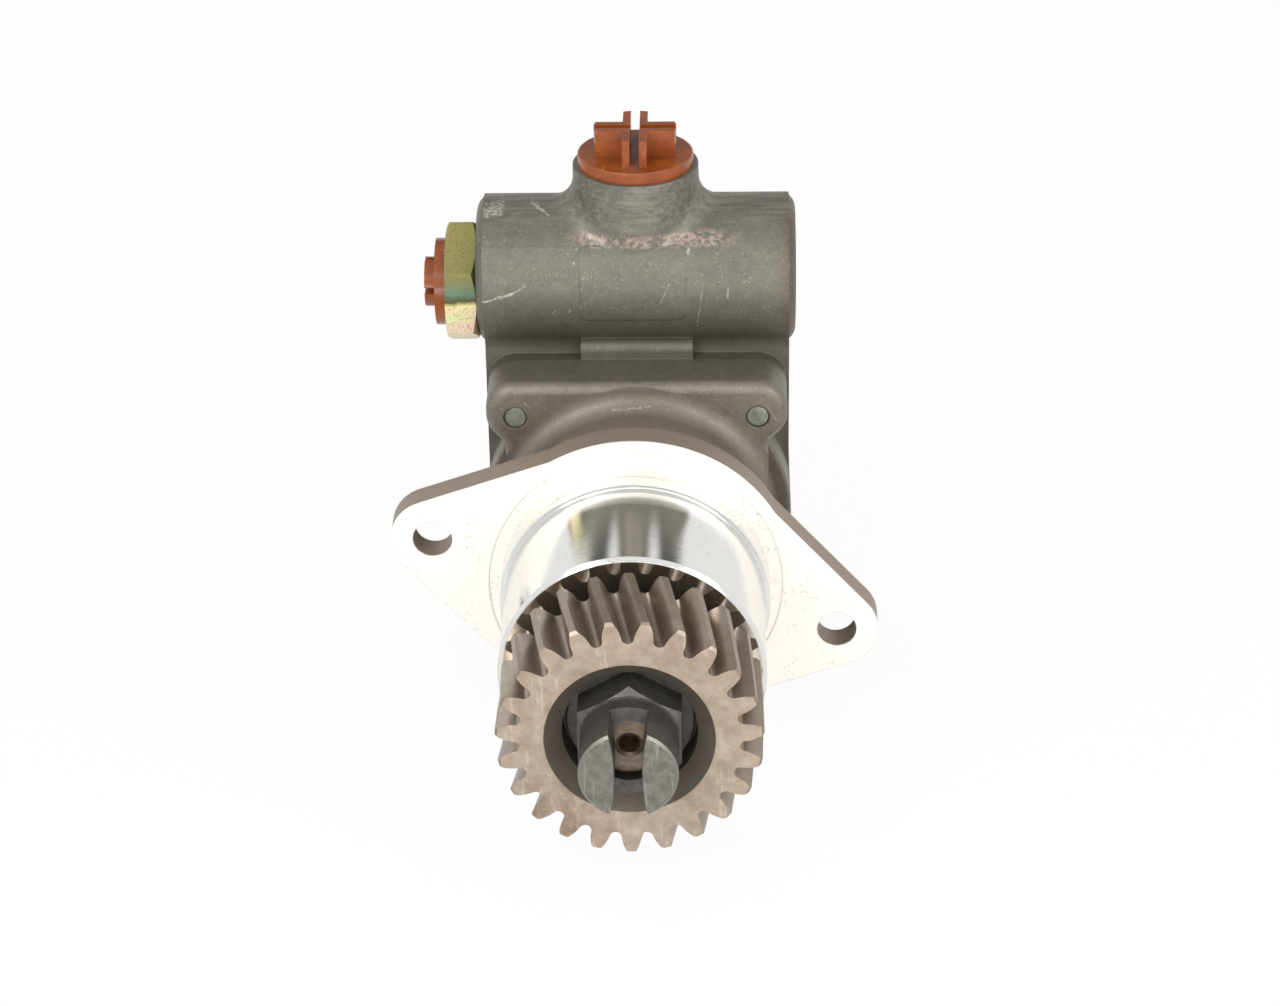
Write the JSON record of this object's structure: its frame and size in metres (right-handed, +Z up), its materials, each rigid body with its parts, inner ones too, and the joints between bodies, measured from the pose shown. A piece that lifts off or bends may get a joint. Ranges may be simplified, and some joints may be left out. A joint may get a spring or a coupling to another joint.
{
  "type": "power steering pump",
  "caption": "Flange-mounted hydraulic vane pump for power steering with a helical drive gear, a slotted nut for a second pump and plugged ports.",
  "frame": {"origin": "where the shaft axis meets the front face of the mounting flange, the centre of its two bolt holes", "axes": "-Y along the shaft towards the driven end, +Z up towards the inlet port, +X to the right seen from the gear"},
  "size_m": [0.1354, 0.2025, 0.1531],
  "materials": {
    "cast_aluminium": "as-cast, machined at the spigot and flange face",
    "gear_steel": "case-hardened steel, matt",
    "dark_steel": "phosphated",
    "shaft_steel": "ground",
    "bolt_steel": "bright zinc",
    "bearing_steel": "ground and polished",
    "pump_steel": "lapped",
    "spring_steel": "ground",
    "zinc_yellow": "yellow zinc plate",
    "bush_bronze": "machined",
    "black_rubber": "matt",
    "plug_plastic": "moulded, orange-brown"
  },
  "bodies": {
    "housing": {"front_housing": "cast_aluminium", "pump_housing": "cast_aluminium", "housing_bolts": "bolt_steel", "bearing_outer_race": "bearing_steel", "bearing_circlip": "bearing_steel", "shaft_seal": "black_rubber", "rear_bush": "bush_bronze", "front_side_plate": "pump_steel", "cam_ring": "pump_steel", "pressure_plate": "pump_steel", "dowel_pins": "bearing_steel", "pressure_spring": "spring_steel", "plate_o_ring": "black_rubber", "joint_o_ring": "black_rubber", "outlet_union": "zinc_yellow", "union_seal_ring": "black_rubber", "valve_spring": "spring_steel"},
    "shaft": {"drive_shaft": "shaft_steel", "drive_gear": "gear_steel", "shaft_key": "shaft_steel", "gear_washer": "dark_steel", "drive_nut": "dark_steel", "rotor": "pump_steel", "rotor_snap_ring": "bearing_steel", "bearing_inner_race": "bearing_steel", "shaft_snap_ring": "bearing_steel"},
    "ball_cage": {"bearing_balls": "bearing_steel", "bearing_cage": "bearing_steel"},
    "spool": {"valve_spool": "spring_steel", "relief_screw": "spring_steel", "relief_spring": "spring_steel"},
    "relief_valve": {"relief_ball": "spring_steel"},
    "inlet_cap": {"inlet_plug": "plug_plastic"},
    "outlet_cap": {"outlet_plug": "plug_plastic"},
    "vane_1_body": {"vane_1": "pump_steel"},
    "vane_2_body": {"vane_2": "pump_steel"},
    "vane_3_body": {"vane_3": "pump_steel"},
    "vane_4_body": {"vane_4": "pump_steel"},
    "vane_5_body": {"vane_5": "pump_steel"},
    "vane_6_body": {"vane_6": "pump_steel"},
    "vane_7_body": {"vane_7": "pump_steel"},
    "vane_8_body": {"vane_8": "pump_steel"},
    "vane_9_body": {"vane_9": "pump_steel"},
    "vane_10_body": {"vane_10": "pump_steel"}
  },
  "joints": [
    {"name": "shaft_spin", "type": "hinge", "parent": "housing", "child": "shaft", "pos_m": [0, 0, 0], "axis": [0, -1, 0], "continuous": true},
    {"name": "cage_spin", "type": "hinge", "parent": "housing", "child": "ball_cage", "pos_m": [0, 0, 0], "axis": [0, -1, 0], "continuous": true},
    {"name": "spool_slide", "type": "slide", "parent": "housing", "child": "spool", "axis": [1, 0, 0], "range_m": [0, 0.01], "stiffness_N_per_m": 3000, "springref_m": -0.004, "deforming": ["valve_spring"]},
    {"name": "relief_lift", "type": "slide", "parent": "spool", "child": "relief_valve", "axis": [1, 0, 0], "range_m": [0, 0.0008], "stiffness_N_per_m": 200, "springref_m": -0.002, "deforming": ["relief_spring"]},
    {"name": "inlet_plug_pull", "type": "slide", "parent": "housing", "child": "inlet_cap", "axis": [0, 0, 1], "range_m": [0, 0.015]},
    {"name": "outlet_plug_pull", "type": "slide", "parent": "housing", "child": "outlet_cap", "axis": [-1, 0, 0], "range_m": [0, 0.013]},
    {"name": "vane_1_slide", "type": "slide", "parent": "shaft", "child": "vane_1_body", "axis": [0.6018, 0, 0.7986], "range_m": [-0.001, 0.00029]},
    {"name": "vane_2_slide", "type": "slide", "parent": "shaft", "child": "vane_2_body", "axis": [0.0175, 0, 0.9998], "range_m": [-0.001, 0.00196]},
    {"name": "vane_3_slide", "type": "slide", "parent": "shaft", "child": "vane_3_body", "axis": [-0.5736, 0, 0.8192], "range_m": [-0.001, 0.003]},
    {"name": "vane_4_slide", "type": "slide", "parent": "shaft", "child": "vane_4_body", "axis": [-0.9455, 0, 0.3256], "range_m": [-0.001, 0.00196]},
    {"name": "vane_5_slide", "type": "slide", "parent": "shaft", "child": "vane_5_body", "axis": [-0.9563, 0, -0.2924], "range_m": [-0.001, 0.00029]},
    {"name": "vane_6_slide", "type": "slide", "parent": "shaft", "child": "vane_6_body", "axis": [-0.6018, 0, -0.7986], "range_m": [-0.001, 0.00029]},
    {"name": "vane_7_slide", "type": "slide", "parent": "shaft", "child": "vane_7_body", "axis": [-0.0175, 0, -0.9998], "range_m": [-0.001, 0.00196]},
    {"name": "vane_8_slide", "type": "slide", "parent": "shaft", "child": "vane_8_body", "axis": [0.5736, 0, -0.8192], "range_m": [-0.001, 0.003]},
    {"name": "vane_9_slide", "type": "slide", "parent": "shaft", "child": "vane_9_body", "axis": [0.9455, 0, -0.3256], "range_m": [-0.001, 0.00196]},
    {"name": "vane_10_slide", "type": "slide", "parent": "shaft", "child": "vane_10_body", "axis": [0.9563, 0, 0.2924], "range_m": [-0.001, 0.00029]}
  ],
  "couplings": [
    {"joint": "cage_spin", "follows": "shaft_spin", "ratio": 0.3969}
  ]
}
